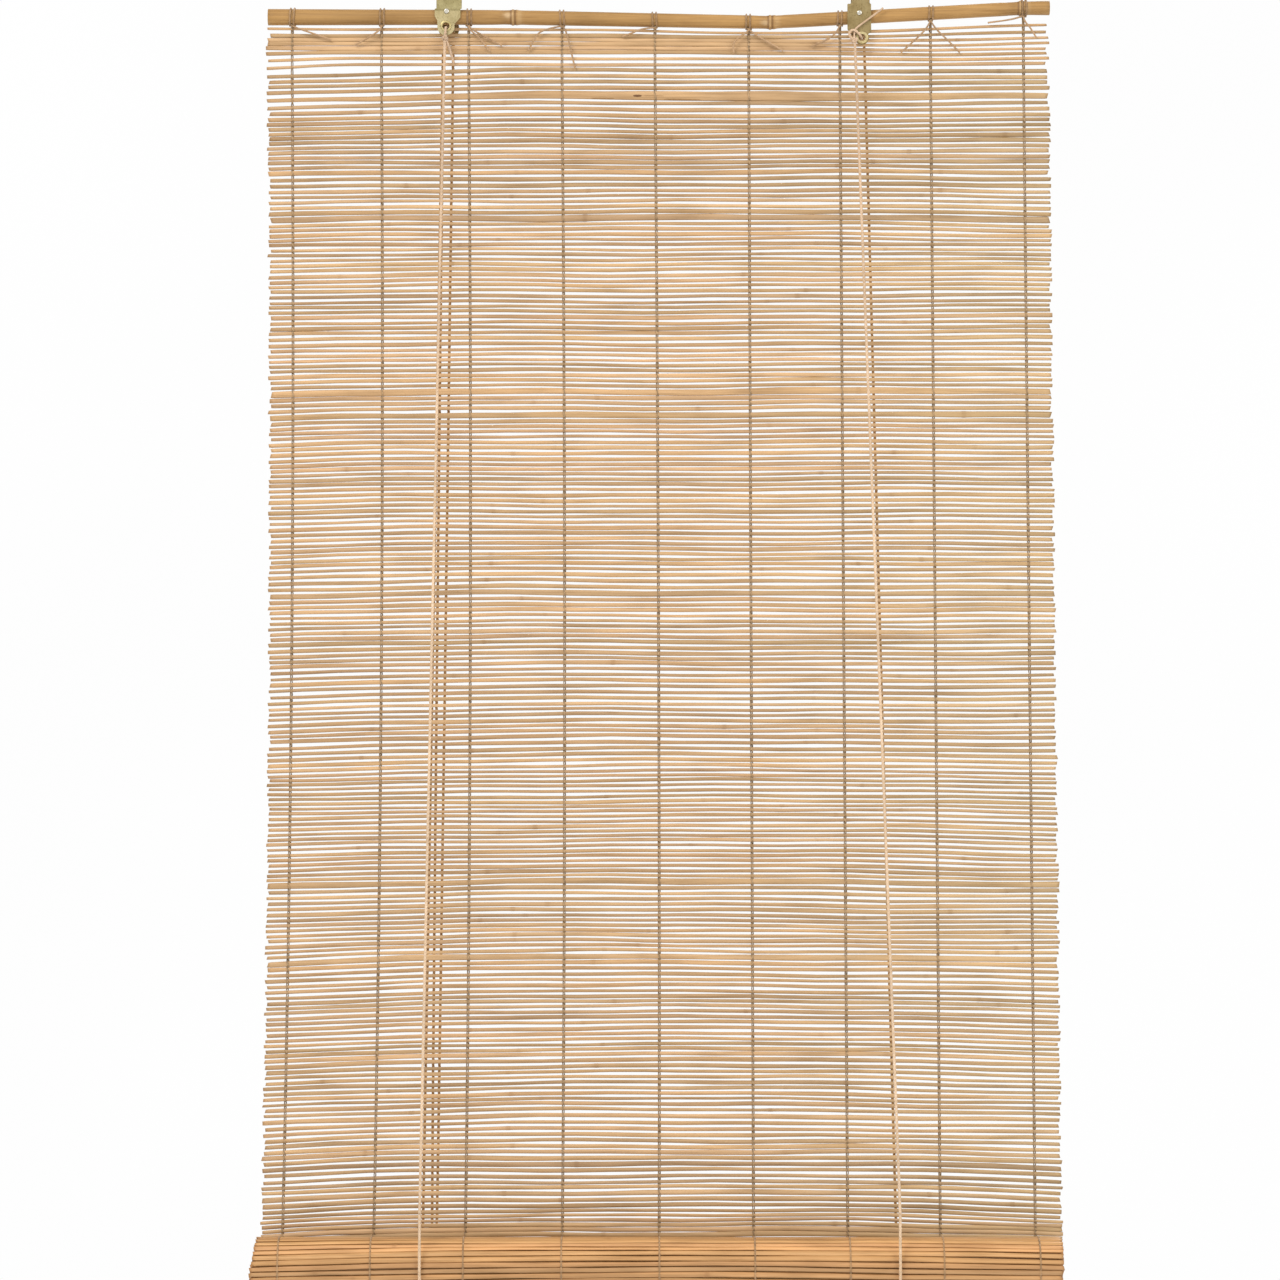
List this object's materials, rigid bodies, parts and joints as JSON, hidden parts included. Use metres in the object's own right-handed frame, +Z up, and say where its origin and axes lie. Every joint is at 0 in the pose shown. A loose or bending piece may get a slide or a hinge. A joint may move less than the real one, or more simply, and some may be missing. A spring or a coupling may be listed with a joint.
{
  "type": "bamboo roll up blind",
  "caption": "Split-bamboo slat blind hung from a bent cane in two folded brackets, its lower half rolled up in front and carried by two lift cords with pull cords behind.",
  "frame": {"origin": "midway between the two hang holes, on the upper face of the brackets", "axes": "+X to the right seen from the front, +Y to the back, +Z up"},
  "size_m": [0.6087, 0.0717, 1.0033],
  "materials": {
    "bamboo": "raw split bamboo, dry, slightly fibrous",
    "cane": "natural glossy bamboo rind",
    "warp_yarn": "twisted hard yarn",
    "cord": "laid cotton cord",
    "brass_plate": "brass-plated sheet, a little dulled",
    "rivet_steel": "bright brass-plated rivet",
    "sheave_brass": "turned brass"
  },
  "bodies": {
    "head": {"cross_cord": "cord", "head_cane": "cane", "left_axle": "rivet_steel", "left_bracket": "brass_plate", "left_cord_knot": "cord", "left_cord_turn": "cord", "left_eyelet": "brass_plate", "left_front_leg": "cord", "left_inner_cheek": "brass_plate", "left_pull_cord": "cord", "left_rear_leg": "cord", "left_rivet": "rivet_steel", "mat_slats": "bamboo", "mat_top_slats": "bamboo", "right_axle": "rivet_steel", "right_bracket": "brass_plate", "right_cord_knot": "cord", "right_eyelet": "brass_plate", "right_front_leg": "cord", "right_inner_cheek": "brass_plate", "right_pull_cord": "cord", "right_rear_leg": "cord", "right_rivet": "rivet_steel", "warp_thread_1": "warp_yarn", "warp_thread_2": "warp_yarn", "warp_thread_3": "warp_yarn", "warp_thread_4": "warp_yarn", "warp_thread_5": "warp_yarn", "warp_thread_6": "warp_yarn", "warp_thread_7": "warp_yarn", "warp_thread_8": "warp_yarn", "warp_thread_9": "warp_yarn"},
    "roll": {"mat_roll": "bamboo", "roll_core": "bamboo"},
    "cord_bights": {"left_cord_bight": "cord", "right_cord_bight": "cord"},
    "left_inner_sheave": {"left_inner_sheave": "sheave_brass"},
    "left_outer_sheave": {"left_outer_sheave": "sheave_brass"},
    "right_sheave": {"right_sheave": "sheave_brass"},
    "pull_ends": {"pull_knot": "cord"}
  },
  "joints": [
    {"name": "roll_lift", "type": "slide", "parent": "head", "child": "cord_bights", "axis": [0, 0, 1], "range_m": [0, 0.86], "deforming": ["mat_slats", "warp_thread_1", "warp_thread_2", "warp_thread_3", "warp_thread_4", "warp_thread_5", "warp_thread_6", "warp_thread_7", "warp_thread_8", "warp_thread_9", "left_front_leg", "right_front_leg", "left_rear_leg", "right_rear_leg"]},
    {"name": "roll_turn", "type": "hinge", "parent": "cord_bights", "child": "roll", "pos_m": [0, -0.0261, -0.9745], "axis": [1, 0, 0], "range_deg": [-1890, 0]},
    {"name": "left_inner_sheave_spin", "type": "hinge", "parent": "head", "child": "left_inner_sheave", "pos_m": [-0.158, 0.0098, -0.028], "axis": [0, 1, 0], "continuous": true},
    {"name": "left_outer_sheave_spin", "type": "hinge", "parent": "head", "child": "left_outer_sheave", "pos_m": [-0.158, 0.0143, -0.028], "axis": [0, 1, 0], "continuous": true},
    {"name": "right_sheave_spin", "type": "hinge", "parent": "head", "child": "right_sheave", "pos_m": [0.158, 0.0098, -0.028], "axis": [0, 1, 0], "continuous": true},
    {"name": "pull_draw", "type": "slide", "parent": "head", "child": "pull_ends", "axis": [0, 0, -1], "range_m": [0, 1.72], "deforming": ["left_pull_cord", "right_pull_cord"]}
  ],
  "couplings": [
    {"joint": "roll_turn", "follows": "roll_lift", "rad_per_m": -38.314},
    {"joint": "left_inner_sheave_spin", "follows": "roll_lift", "rad_per_m": 512.82},
    {"joint": "left_outer_sheave_spin", "follows": "roll_lift", "rad_per_m": -512.82},
    {"joint": "right_sheave_spin", "follows": "roll_lift", "rad_per_m": -512.82},
    {"joint": "pull_draw", "follows": "roll_lift", "ratio": 2}
  ]
}
